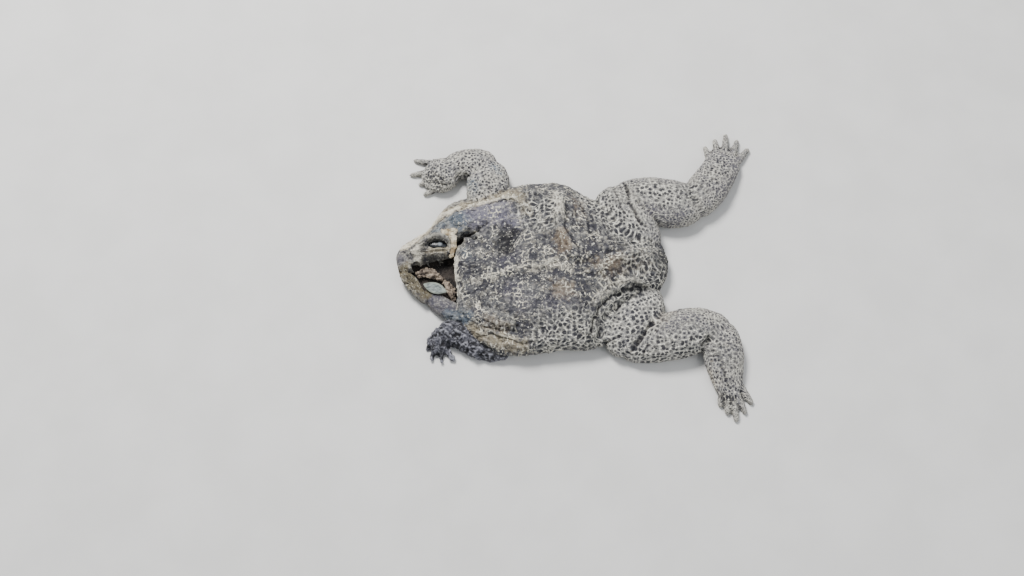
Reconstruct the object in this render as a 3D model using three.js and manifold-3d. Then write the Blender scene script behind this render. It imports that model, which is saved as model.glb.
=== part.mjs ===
import * as THREE from 'three';
import { mergeVertices } from 'three/addons/utils/BufferGeometryUtils.js';
import Module from 'manifold-3d';

// A cane toad that has dried flat on its belly, back up, at life size.
// Millimetres. +X runs from the snout to the rump, +Y is the toad's right side,
// +Z is up, and the origin is on the belly's flat, under the middle of the back.

// Driving sizes
const SNOUT_X = -80;
const RUMP_X = 52.4;
const BACK_HEIGHT = 15;
const RIM_HEIGHT = 4.2;
const SKULL_HEIGHT = 8.6;
const FRONT_RISE = 3.2;
const EYE_LENGTH = 11.5;
const EYE_WIDTH = 5.6;
const FINGER_RADIUS = 1.35;
const TOE_RADIUS = 1.5;
const SKIN_GAP = 0.34;
const CUTTER_TURN = 0.95;
const TOP_SHARE = 0.7;
const RIM_CROWDING = 1.35;
const UNDER_CROWDING = 2.6;

// How finely the forms are faceted
const BACK_FACETS = [60, 23];
const HEAD_FACETS = [40, 14];
const LIMB_FACETS = [16, 13];
const SMALL_FACETS = [10, 9];
const DIGIT_FACETS = [7, 6];

const COLOURS = {
  back: 0x57524c,
  limb: 0x6b665e,
  head: 0x6a665f,
  gland: 0x4b464a,
  shrivelled: 0x2b292c,
  jaw: 0x7d7361,
  bone: 0xa8977a,
  throat: 0x2a2522,
  eye: 0x5c666c,
};

const wasm = await Module();
wasm.setup();

// Manifold solids from three.js geometries, and back

function toSolid(geometry) {
  const bare = geometry.clone();
  bare.deleteAttribute('normal');
  bare.deleteAttribute('uv');
  const merged = mergeVertices(bare, 1e-4);
  return new wasm.Manifold(new wasm.Mesh({
    numProp: 3,
    vertProperties: Float32Array.from(merged.attributes.position.array),
    triVerts: Uint32Array.from(merged.index.array),
  }));
}

function toGeometry(solid) {
  const mesh = solid.getMesh();
  const geometry = new THREE.BufferGeometry();
  geometry.setAttribute('position', new THREE.BufferAttribute(mesh.vertProperties, 3));
  geometry.setIndex(new THREE.BufferAttribute(mesh.triVerts, 1));
  geometry.computeVertexNormals();
  return geometry;
}

function largestPiece(solid) {
  const pieces = solid.decompose();
  pieces.sort((a, b) => b.volume() - a.volume());
  return pieces[0];
}

function cutBy(solid, ...cutters) {
  return largestPiece(cutters.reduce((left, cutter) => left.subtract(cutter), solid));
}

function fuse(...solids) {
  return largestPiece(solids.reduce((all, solid) => all.add(solid)));
}

// Relief: a ridge (or, with a negative height, a hollow) along a line of points

function distanceToSegment(x, y, [ax, ay], [bx, by]) {
  const length2 = (bx - ax) ** 2 + (by - ay) ** 2;
  const along = ((x - ax) * (bx - ax) + (y - ay) * (by - ay)) / length2;
  const t = THREE.MathUtils.clamp(along, 0, 1);
  return Math.hypot(x - ax - t * (bx - ax), y - ay - t * (by - ay));
}

function reliefAt(ridges, x, y) {
  let height = 0;
  for (const ridge of ridges) {
    let nearest = Infinity;
    for (let i = 1; i < ridge.line.length; i += 1) {
      nearest = Math.min(nearest, distanceToSegment(x, y, ridge.line[i - 1], ridge.line[i]));
    }
    height += ridge.height * Math.exp(-((nearest / ridge.width) ** 2));
  }
  return height;
}

// A flattened form inside a closed outline: a crowned top over a rolled rim and a flat base.
// Grown by the skin's gap, it cuts its neighbours clear, with a straight wall below the rim.

function moundForm({ outline, centre, crown, rim, rise = () => 0, base = 0, flat = 0.86, ridges = [] }, facets, grow = 0) {
  const points = outline.map(([x, y]) => new THREE.Vector3(x, y, 0));
  const edge = new THREE.CatmullRomCurve3(points, true, 'centripetal');
  const geometry = new THREE.SphereGeometry(1, facets[0], facets[1]);
  const position = geometry.attributes.position;
  const start = geometry.attributes.uv;
  for (let i = 0; i < position.count; i += 1) {
    const fromPole = Math.acos(THREE.MathUtils.clamp(position.getY(i), -1, 1)) / Math.PI;
    const above = fromPole < TOP_SHARE;
    const reach = above
      ? 1 - (1 - fromPole / TOP_SHARE) ** RIM_CROWDING
      : (1 - (fromPole - TOP_SHARE) / (1 - TOP_SHARE)) ** (1 / UNDER_CROWDING);
    const onEdge = edge.getPoint((1 - start.getX(i)) % 1);
    const dx = onEdge.x - centre[0];
    const dy = onEdge.y - centre[1];
    const stretch = reach * (1 + grow / Math.hypot(dx, dy));
    const x = centre[0] + dx * stretch;
    const y = centre[1] + dy * stretch;
    const rimHere = rim + rise(onEdge.x, onEdge.y);
    let z;
    if (above) {
      const fall = Math.sqrt(Math.max(0, 1 - reach ** 3));
      z = rimHere + (crown - rimHere + reliefAt(ridges, x, y) + grow) * fall;
    } else {
      const turn = grow > 0 ? CUTTER_TURN : flat;
      const roll = Math.max(0, (reach - turn) / (1 - turn));
      z = base - grow + (rimHere - base + grow) * roll ** 1.6;
    }
    position.setXYZ(i, x, y, z);
  }
  return toSolid(geometry);
}

// A limb that lies along a line of stations [x, y, half width, height, lift]: flat below

function limbForm(stations, facets = LIMB_FACETS, grow = 0) {
  const line = new THREE.CatmullRomCurve3(
    stations.map(([x, y]) => new THREE.Vector3(x, y, 0)), false, 'centripetal');
  const sizes = new THREE.CatmullRomCurve3(
    stations.map(([, , width, height, lift = 0]) => new THREE.Vector3(width, height, lift)));
  const length = line.getLength();
  const geometry = new THREE.SphereGeometry(1, facets[0], facets[1]);
  const position = geometry.attributes.position;
  for (let i = 0; i < position.count; i += 1) {
    const along = THREE.MathUtils.clamp((1 - position.getY(i)) / 2, 0, 1);
    const size = sizes.getPoint(along);
    const cap = Math.min(0.5, (0.9 * size.x) / (length + 2 * size.x));
    const toEnd = Math.min(along, 1 - along) / cap;
    const fullness = toEnd < 1 ? Math.sqrt(Math.max(0, 1 - (1 - toEnd) ** 2)) : 1;
    const t = THREE.MathUtils.clamp(along, 0, 1);
    const at = line.getPoint(t);
    const way = line.getTangent(t);
    const overhang = toEnd < 1 ? (size.x * 0.6 + grow) * (1 - toEnd) * (along < 0.5 ? -1 : 1) : 0;
    const ring = Math.hypot(position.getX(i), position.getZ(i)) || 1;
    const side = position.getX(i) / ring;
    const rise = position.getZ(i) / ring;
    const across = Math.sign(side) * Math.abs(side) ** 0.85 * (size.x + grow) * fullness;
    const middle = 0.42 * size.y;
    const up = rise > 0
      ? middle + (size.y - middle + grow) * rise ** 0.9 * fullness
      : Math.max(0, middle - middle * 1.35 * Math.abs(rise) * fullness) - grow;
    position.setXYZ(
      i,
      at.x + way.x * overhang - way.y * across,
      at.y + way.y * overhang + way.x * across,
      size.z + up,
    );
  }
  return toSolid(geometry);
}

// A slab with a chosen outline, to cut a hole or to make a plate of bone

function plate(outline, low, high, bevel = 0) {
  const points = outline.map(([x, y]) => new THREE.Vector3(x, y, 0));
  const edge = new THREE.CatmullRomCurve3(points, true, 'centripetal');
  const shape = new THREE.Shape(edge.getSpacedPoints(28).slice(0, -1).map((p) => new THREE.Vector2(p.x, p.y)));
  const geometry = new THREE.ExtrudeGeometry(shape, {
    depth: high - low - 2 * bevel,
    bevelEnabled: bevel > 0,
    bevelThickness: bevel,
    bevelSize: bevel * 0.9,
    bevelOffset: -bevel * 0.9,
    bevelSegments: 2,
  });
  geometry.translate(0, 0, low + bevel);
  return toSolid(geometry);
}

// A lens: an ellipsoid of the given length, width and depth, turned in plan

function lens([x, y, z], length, width, depth, turn) {
  const geometry = new THREE.SphereGeometry(0.5, 16, 8);
  geometry.scale(length, width, depth);
  geometry.rotateZ(turn);
  geometry.translate(x, y, z);
  return toSolid(geometry);
}

// The back: the skin of the trunk, tented over the spine, shoulders and hip bones

const BACK = {
  centre: [0, 0],
  crown: BACK_HEIGHT,
  rim: RIM_HEIGHT,
  rise: (x, y) => FRONT_RISE * THREE.MathUtils.smoothstep(-x, 40, 49) * THREE.MathUtils.smoothstep(y, -30, -18),
  outline: [
    [-30.5, 40.5], [-21.9, 44.8], [-9.4, 46.3], [1.6, 46.1], [10.5, 40.8], [25.1, 32.5],
    [39.6, 23], [48, 15.5], [51.2, 7.8], [RUMP_X, 0.7], [50.4, -7], [47, -12.5],
    [36, -17.5], [24.4, -27.1], [18.6, -36], [16.2, -43], [4, -43.6], [-7.8, -45.2],
    [-19.6, -46.6], [-29.1, -45.3], [-37.1, -41.2], [-43.4, -35], [-48.7, -28.2], [-49.7, -22],
    [-49.3, -16], [-50.4, -8], [-51.1, -1.5], [-50.3, 7.8], [-46.9, 14.2], [-40.5, 18.5],
    [-37, 29],
  ],
  ridges: [
    { line: [[-36, -3], [-12, 2.5], [5, 0], [24, 0], [44, 6]], width: 6, height: 2.6 },
    { line: [[1.6, 40], [-1, 30], [1.5, 16], [7, 4]], width: 4.5, height: 2.8 },
    { line: [[24, 1], [40, 5]], width: 9, height: 2.2 },
    { line: [[14, 36], [19, 18], [24, 6]], width: 3.2, height: 1.3 },
    { line: [[-20, 26], [-28, 12]], width: 8, height: -4.2 },
    { line: [[-34, 38], [-12, 41]], width: 3.4, height: 4.2 },
    { line: [[-26, -34], [-12, -37]], width: 4.5, height: -2 },
    { line: [[-36, -37], [-18, -43], [4, -41]], width: 3.4, height: 3.2 },
    { line: [[16, -38], [22, -24], [34, -13]], width: 4, height: 2.4 },
    { line: [[-6, -20], [12, -14]], width: 10, height: 1.2 },
    { line: [[32, 14], [44, 12]], width: 6, height: -2 },
  ],
};
const back = moundForm(BACK, BACK_FACETS);
const roundBack = moundForm(BACK, BACK_FACETS, SKIN_GAP);

// The glands behind the eyes, sunk in as they dried

const RIGHT_GLAND = [[-50, 23.5, 6, 10.5], [-37, 27.5, 8.2, 12.2], [-24.5, 31.5, 6.2, 12.4]];
const LEFT_GLAND = [[-44, -24.6, 4.8, 10.6], [-34, -29.4, 6.4, 14.6], [-23, -33, 5, 15.2]];
const rightGland = limbForm(RIGHT_GLAND, LIMB_FACETS);
const roundRightGland = limbForm(RIGHT_GLAND, LIMB_FACETS, SKIN_GAP);
const leftGland = limbForm(LEFT_GLAND, LIMB_FACETS);
const roundLeftGland = limbForm(LEFT_GLAND, LIMB_FACETS, SKIN_GAP);

// The neck is torn: a slit opens behind the head, and the skin of the back stands over a hollow

const neckTear = plate([[-50.6, 14.6], [-44.6, 18.2], [-38.4, 18.6], [-44.4, 15.2], [-49, 10]], -1, 30);
const neckHollow = lens([-52.4, -3, 2.6], 17, 34, 7.2, 0);
const torso = cutBy(back, roundRightGland, roundLeftGland, neckTear, neckHollow);

// The head: the snout, the right cheek and the roof over the right eye. The roof between
// the eyes is torn away, and the left side is only its jaw, a strap of skin and loose bones.

const EYE_AT = [-59.6, 10.6, 7.4];
const EYE_TURN = THREE.MathUtils.degToRad(-4);
const HEAD = {
  centre: [-60, 15],
  crown: SKULL_HEIGHT,
  rim: 3.4,
  base: 2.6,
  flat: 0.9,
  outline: [
    [SNOUT_X, 6.6], [-77.4, 11.4], [-71, 15.8], [-64.4, 20.8], [-59.4, 29.6], [-54.4, 35.4],
    [-46.5, 38.6], [-36, 39.5], [-34, 30], [-40.4, 20.4], [-46.6, 18.2], [-50.6, 12.4],
    [-52.2, 6.4], [-60, 4.4], [-67.6, 1.6], [-71.6, -2.2], [-77.4, -1.8], [-79.6, 2.4],
  ],
  ridges: [
    { line: [[-76, 10.5], [-64.6, 18.2], [-58.6, 28], [-50, 35.4]], width: 2.6, height: -1.6 },
    { line: [[-71, 7], [-66, 12.6], [-59, 15.2], [-52.6, 13]], width: 2.2, height: 2.4 },
    { line: [[-68, 6], [-60, 5.2], [-52.8, 7]], width: 2.4, height: 2.6 },
    { line: [[-56, 24], [-52, 24]], width: 5, height: -1.2 },
    { line: [[-77, 4.6], [-70, 3.4]], width: 2.6, height: -1.4 },
  ],
};
const nostril = lens([-75.6, 7.2, 6.4], 1.8, 1.2, 3.2, 0.6);
const eyeSlit = lens([EYE_AT[0], EYE_AT[1], EYE_AT[2] + 2.6], EYE_LENGTH, EYE_WIDTH, 8.4, EYE_TURN);
const nasalHole = plate([[-72.4, 1.4], [-69.6, 2.6], [-67.4, 0.8], [-69, -1.6], [-72, -1]], -1, 20);
const skullRoof = moundForm(HEAD, HEAD_FACETS);
const EYEBALL = [EYE_LENGTH - 1.6, EYE_WIDTH - 1.2, 3.6];
const rightEye = lens(EYE_AT, ...EYEBALL, EYE_TURN);
const roundRightEye = lens(EYE_AT, ...EYEBALL.map((size) => size + 2 * SKIN_GAP), EYE_TURN);
const head = cutBy(
  skullRoof, roundBack, roundRightGland, eyeSlit, roundRightEye, nostril, nasalHole, neckTear,
);
const roundHead = moundForm(HEAD, HEAD_FACETS, SKIN_GAP);

// The lower jaw is a thin bow under the lip, and the line of the mouth is the gap over it

const JAW_FACETS = [8, 26];
const JAW_BOW = [
  [-54, 32.5, 1.6, 2.2], [-62.8, 19.6, 2, 2.3], [-70.2, 13.6, 2.1, 2.3], [-75.6, 9.4, 2.2, 2.3],
  [-77.2, 4.2, 2.2, 2.3], [-76, -1.4, 2.2, 2.3], [-71.6, -8.4, 2.1, 2.3], [-65.6, -16.6, 1.6, 2.2],
];
const lowerJaw = cutBy(limbForm(JAW_BOW, JAW_FACETS), roundBack, roundRightGland);
const roundJaw = limbForm(JAW_BOW, JAW_FACETS, SKIN_GAP);

// The left side of the head: a strip of the upper jaw, a strap of skin and the dried eye

const LEFT_JAW = [[-75.6, -3.6, 2.8, 3.4, 2.6], [-70.6, -10, 2.9, 3.6, 2.6], [-64.8, -17.8, 1.3, 2.6, 2.6]];
const leftJaw = cutBy(limbForm(LEFT_JAW, SMALL_FACETS), roundHead);
const LEFT_EYE_AT = [-60.4, -11.6, 5.6];
const LEFT_EYE_TURN = THREE.MathUtils.degToRad(-20);
const LEFT_EYE_SIZE = [12.6, 6.6, 3.2];
const leftEye = lens(LEFT_EYE_AT, ...LEFT_EYE_SIZE, LEFT_EYE_TURN);
const roundLeftEye = lens(LEFT_EYE_AT, ...LEFT_EYE_SIZE.map((size) => size + 2 * SKIN_GAP), LEFT_EYE_TURN);
const LEFT_CHEEK = [[-64, -13, 3.2, 4.6], [-58.4, -18.4, 4.4, 5.4], [-50, -24, 4.6, 6.4], [-43, -27, 4, 7]];
const leftCheek = cutBy(
  limbForm(LEFT_CHEEK), roundBack, roundLeftGland, roundLeftEye, roundJaw,
  limbForm(LEFT_JAW, SMALL_FACETS, SKIN_GAP),
);
const roundLeftCheek = limbForm(LEFT_CHEEK, LIMB_FACETS, SKIN_GAP);

// Loose bones of the broken skull, over the dark dried skin of the throat

const BONE_FACETS = [8, 10];
const EAR_BONE = [
  [-57.6, 17.4, 1.3, 3, 8.6], [-53.2, 16, 1.9, 3.2, 8.4], [-51.6, 11, 1.5, 3, 8], [-53, 4.6, 1.2, 2.6, 7],
];
const earBone = limbForm(EAR_BONE, BONE_FACETS);
const headSkin = cutBy(head, limbForm(EAR_BONE, BONE_FACETS, SKIN_GAP));

const THROAT_TOP = 1.3;
const throatTear = plate([[-60, 2.4], [-56, 5], [-51, 4.4], [-51.4, -2], [-56, -4]], -1, 4);
const throat = cutBy(
  plate([
    [-73, 5.6], [-69, 10], [-62, 16], [-54, 22], [-46, 16], [-48, 6], [-49, -6], [-48.4, -16],
    [-53, -21], [-60, -17], [-66, -10.4], [-71.8, -3],
  ], 0, THROAT_TOP),
  roundJaw, roundBack, roundRightGland, roundLeftGland, roundLeftCheek, throatTear,
);
const OVER_THROAT = THROAT_TOP + SKIN_GAP;
const PALATE_BONE = [
  [-69, -2.6, 2.2, 4.4, OVER_THROAT], [-62.6, -2.4, 2.6, 5, OVER_THROAT], [-57.4, -5.6, 1.4, 3.4, OVER_THROAT],
];
const palateBone = cutBy(limbForm(PALATE_BONE, BONE_FACETS), roundHead, roundLeftEye, nasalHole);
const CHEEK_BONE = [
  [-56, -6.4, 1.2, 3, OVER_THROAT], [-53, -11.4, 2, 4, OVER_THROAT], [-51.4, -17, 1.3, 3, OVER_THROAT],
];
const cheekBone = cutBy(
  limbForm(CHEEK_BONE, BONE_FACETS), roundBack, roundLeftEye, roundLeftCheek,
  limbForm(PALATE_BONE, BONE_FACETS, SKIN_GAP),
);

// Each limb is a chain of forms from the body outwards, each cut clear of the one before.
// The digits fan out from the end, as root and tip.

const LIMBS = {
  right_arm: {
    nodes: ['right_upper_arm', 'right_forearm', 'right_hand'],
    upper: [[-37, 35, 9, 9], [-35.4, 45, 10.6, 11.4], [-35.6, 54, 10, 10.4]],
    fore: [[-36, 57.4, 8.6, 10.6], [-46, 58.4, 8, 9.6], [-54, 57.4, 6.8, 7.8]],
    end: [[-54, 56, 7.4, 7.4], [-59.5, 52.6, 9.6, 7.6], [-64.4, 51.4, 7.2, 4.4]],
    digits: [
      [[-61, 60.4], [-73, 62.6]], [[-62, 56.4], [-74.6, 54]],
      [[-62, 51], [-70, 48.6]], [[-60, 46.6], [-67.4, 42.6]],
    ],
    digitRadius: FINGER_RADIUS,
    colour: 'limb',
  },
  left_arm: {
    nodes: ['left_upper_arm', 'left_forearm', 'left_hand'],
    upper: [[-27, -44, 3.4, 4.6], [-38, -42.6, 4.4, 5.4], [-46.4, -38, 5, 6.4]],
    fore: [[-45, -37.4, 5.4, 6.6], [-51.4, -34.4, 6.2, 7.2], [-56, -34.8, 5.4, 6.6]],
    end: [[-56.6, -33.8, 4.8, 5.6], [-58.4, -38.4, 5.4, 5.4], [-57.6, -42.6, 3.8, 4.2]],
    digits: [
      [[-60.4, -37.4], [-64, -42]], [[-59.6, -40.6], [-61.6, -46.6]],
      [[-57.6, -41.6], [-56.4, -48.2]], [[-55.2, -40.6], [-51.4, -46.8]],
    ],
    digitRadius: FINGER_RADIUS,
    colour: 'shrivelled',
  },
  right_leg: {
    nodes: ['right_thigh', 'right_shank', 'right_foot'],
    upper: [[43, 11, 8, 11.5], [34.6, 25, 12, 13], [25.6, 37.4, 10.6, 11.8]],
    fore: [[30.5, 40.6, 7.4, 10], [43, 37.4, 12, 13.2], [55, 35, 12.8, 13], [66, 34.8, 10.4, 10]],
    end: [[65, 33.6, 8.6, 9.4], [73, 42.8, 10, 10.4], [80, 54, 9.2, 8.4], [84.4, 62.6, 8.8, 5]],
    digits: [
      [[77, 62.4], [74.6, 70.6]], [[80.6, 64.4], [80, 75]], [[84.4, 65.4], [86, 78]],
      [[88, 64.4], [91.4, 74.6]], [[90.6, 61.4], [96.6, 69.4]],
    ],
    digitRadius: TOE_RADIUS,
    colour: 'limb',
  },
  left_leg: {
    nodes: ['left_thigh', 'left_shank', 'left_foot'],
    upper: [[43, -14.4, 7, 8.6], [36.4, -28, 12.4, 10.6], [27, -41, 8.6, 9.4]],
    fore: [
      [31.6, -44, 5.4, 7.4], [44, -39.6, 10.2, 11.2], [57, -35.2, 12, 12.4], [68, -32, 10, 11],
      [77, -31.2, 5.6, 8.6],
    ],
    end: [[75.6, -32.6, 7.6, 9.4], [76, -43, 9.6, 9.6], [77, -55, 8, 7], [78.4, -65.4, 5.2, 4]],
    digits: [
      [[75, -63], [73.4, -70.4]], [[77, -65], [76.6, -74.4]], [[79.2, -66], [80.6, -78]],
      [[81, -64], [85, -74]], [[82.4, -58.6], [88.4, -69.4]],
    ],
    digitRadius: TOE_RADIUS,
    colour: 'limb',
  },
};

function digitForm([rootX, rootY], [tipX, tipY], radius) {
  return limbForm([
    [rootX, rootY, radius * 1.15, radius * 2.3],
    [(rootX + tipX) / 2, (rootY + tipY) / 2, radius, radius * 2],
    [tipX, tipY, radius * 0.62, radius * 1.35],
  ], DIGIT_FACETS);
}

function limbParts(limb, bodyCutters) {
  const upper = cutBy(limbForm(limb.upper), ...bodyCutters);
  const roundUpper = limbForm(limb.upper, LIMB_FACETS, SKIN_GAP);
  const fore = cutBy(limbForm(limb.fore), ...bodyCutters, roundUpper);
  const roundFore = limbForm(limb.fore, LIMB_FACETS, SKIN_GAP);
  const digits = limb.digits.map(([root, tip]) => digitForm(root, tip, limb.digitRadius));
  const end = cutBy(fuse(limbForm(limb.end), ...digits), ...bodyCutters, roundUpper, roundFore);
  return [upper, fore, end];
}

const model = new THREE.Group();

function addNode(name, solid, colour, roughness = 0.85) {
  const material = new THREE.MeshStandardMaterial({ color: COLOURS[colour], roughness, metalness: 0 });
  const mesh = new THREE.Mesh(toGeometry(solid), material);
  mesh.name = name;
  model.add(mesh);
}

addNode('torso', torso, 'back');
addNode('right_parotoid_gland', cutBy(rightGland, neckTear), 'gland');
addNode('left_parotoid_gland', leftGland, 'gland');
addNode('head', headSkin, 'head');
addNode('lower_jaw', lowerJaw, 'jaw');
addNode('left_upper_jaw', leftJaw, 'jaw');
addNode('left_cheek', leftCheek, 'gland');
addNode('throat', throat, 'throat');
addNode('right_eye', rightEye, 'eye', 0.3);
addNode('left_eye', leftEye, 'eye', 0.45);
addNode('ear_bone', earBone, 'bone', 0.7);
addNode('palate_bone', palateBone, 'bone', 0.7);
addNode('cheek_bone', cheekBone, 'bone', 0.7);

const bodyCutters = [roundBack, roundRightGland, roundLeftGland, roundJaw, roundHead, roundLeftCheek];
for (const limb of Object.values(LIMBS)) {
  limbParts(limb, bodyCutters).forEach((solid, i) => addNode(limb.nodes[i], solid, limb.colour));
}

export default model;
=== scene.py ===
"""Looks of the dried cane toad: one skin over its flesh nodes, with the jaw, eyes and bones as pieces."""

import math

import bmesh
import bpy
import numpy as np
from mathutils import Matrix, Vector, noise
from mathutils.bvhtree import BVHTree


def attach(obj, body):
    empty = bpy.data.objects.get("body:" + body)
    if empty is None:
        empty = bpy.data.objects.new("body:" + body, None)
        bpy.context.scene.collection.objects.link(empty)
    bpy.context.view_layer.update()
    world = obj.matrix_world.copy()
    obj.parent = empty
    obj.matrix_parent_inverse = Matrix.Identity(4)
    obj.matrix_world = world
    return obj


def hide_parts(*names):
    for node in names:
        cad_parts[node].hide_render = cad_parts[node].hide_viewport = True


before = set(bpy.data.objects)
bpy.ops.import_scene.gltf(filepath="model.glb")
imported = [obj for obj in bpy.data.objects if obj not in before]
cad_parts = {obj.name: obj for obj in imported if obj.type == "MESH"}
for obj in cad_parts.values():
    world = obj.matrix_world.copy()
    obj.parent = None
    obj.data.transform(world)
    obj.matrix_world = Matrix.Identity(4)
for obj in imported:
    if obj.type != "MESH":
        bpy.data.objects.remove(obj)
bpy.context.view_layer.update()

MM = 0.001
TRUNK_NODES = ["torso", "right_parotoid_gland", "left_parotoid_gland"]
HEAD_NODES = ["head", "left_cheek", "left_upper_jaw"]
LEG_NODES = ["right_thigh", "right_shank", "right_foot", "left_thigh", "left_shank", "left_foot"]
ARM_NODES = ["right_upper_arm", "right_forearm", "right_hand"]
DRIED_ARM_NODES = ["left_upper_arm", "left_forearm", "left_hand"]
FLESH_NODES = TRUNK_NODES + HEAD_NODES + LEG_NODES + ARM_NODES + DRIED_ARM_NODES

# Sizes of the skin, in millimetres.
SKIN_SWELL = 0.24
SKIN_VOXEL = 0.54
SKIN_TRIANGLES = 194000
HEAD_CENTRE = (-62.0, 6.0, 0.0)
HEAD_REACH = 16.0
HEAD_EXTRA = 0.75
UNDERSIDE_SHARE = 0.6
BODY_ROUNDS = 9
HEAD_ROUNDS = 2
FLOOR_BAND = 0.06
FILL_REACH = 2.2

# Means of the noises that crumple the skin, taken off so that its level stays.
RIDGE_MEAN = 1.1
FINE_MEAN = 0.32
GRAIN_MEAN = 0.45
BILLOW_MEAN = 0.22

# Rounds over the mesh: how far the laid-out skin looks for its crown, and how soft each guide is.
CROWN_REACH = 24
CROWN_ROUNDS = 20
LEAN_ROUNDS = 12
BULGE_ROUNDS = 8

# Rolls of skin on the head: points of x, y, lift over the solid, half width and half height.
HEAD_ROLLS = {
    "upper_lid": [
        (-66.2, 6.6, -0.2, 0.35, 0.35), (-63.8, 10.6, 0.1, 0.5, 0.55), (-60.2, 13, 0.1, 0.6, 0.6),
        (-56.4, 12.7, 0.1, 0.55, 0.55), (-53.9, 10.2, 0, 0.4, 0.4),
    ],
    "lower_lid": [
        (-66, 5.9, -0.1, 0.35, 0.4), (-62.6, 7.3, 0.5, 0.5, 0.6), (-59.6, 7.9, 0.8, 0.55, 0.65),
        (-56.4, 8, 0.6, 0.5, 0.6), (-53.8, 8.4, 0, 0.4, 0.4),
    ],
    "under_lid": [
        (-64.8, 4.7, 0, 0.4, 0.4), (-61.4, 5.9, 0.3, 0.4, 0.5), (-57.6, 6.3, 0.4, 0.4, 0.5),
        (-54.6, 6.3, 0.1, 0.4, 0.4),
    ],
    "low_lid": [
        (-63.9, 3.7, 0.1, 0.3, 0.35), (-60.6, 4.5, 0.3, 0.4, 0.45), (-56.8, 4.7, 0.2, 0.35, 0.4),
    ],
    "brow": [
        (-68, 9, -0.1, 0.5, 0.4), (-64.4, 13.4, 0.1, 0.6, 0.5), (-60, 15.4, 0.1, 0.6, 0.5),
        (-55.4, 15.2, -0.1, 0.5, 0.4),
    ],
    "shred_a": [
        (-66.4, 2.2, 0.1, 0.4, 0.4), (-63, 1.2, -0.5, 0.55, 0.35), (-59.6, 2.4, 0, 0.35, 0.3),
    ],
    "shred_b": [
        (-60.8, 4.2, -0.2, 0.35, 0.4), (-57, 3.2, -0.4, 0.5, 0.35), (-54.2, 4.4, 0, 0.3, 0.3),
    ],
    "shred_c": [
        (-65.2, 3.4, 0.3, 0.45, 0.35), (-63.4, 1.9, 0.2, 0.4, 0.3), (-61, 1.2, -0.4, 0.25, 0.22),
    ],
    "shred_d": [
        (-59.6, 4.8, 0.1, 0.4, 0.35), (-58.2, 2.8, 0.6, 0.4, 0.3), (-55.8, 1.8, 0.2, 0.25, 0.22),
    ],
    "snout_fold": [
        (-77.4, 1.8, -0.3, 0.5, 0.4), (-73.6, 1, 0, 0.8, 0.5), (-70, 2.8, -0.1, 0.5, 0.4),
    ],
    "lip": [
        (-78, 8.6, -0.6, 0.5, 0.5), (-74.4, 12, -0.5, 0.9, 0.7), (-68.4, 16.4, -0.4, 1.1, 0.8),
        (-63.2, 22.9, -0.3, 1.2, 0.8), (-57.6, 28.4, -0.2, 1.2, 0.8), (-49, 32, -0.2, 1.1, 0.7),
    ],
}

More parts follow.
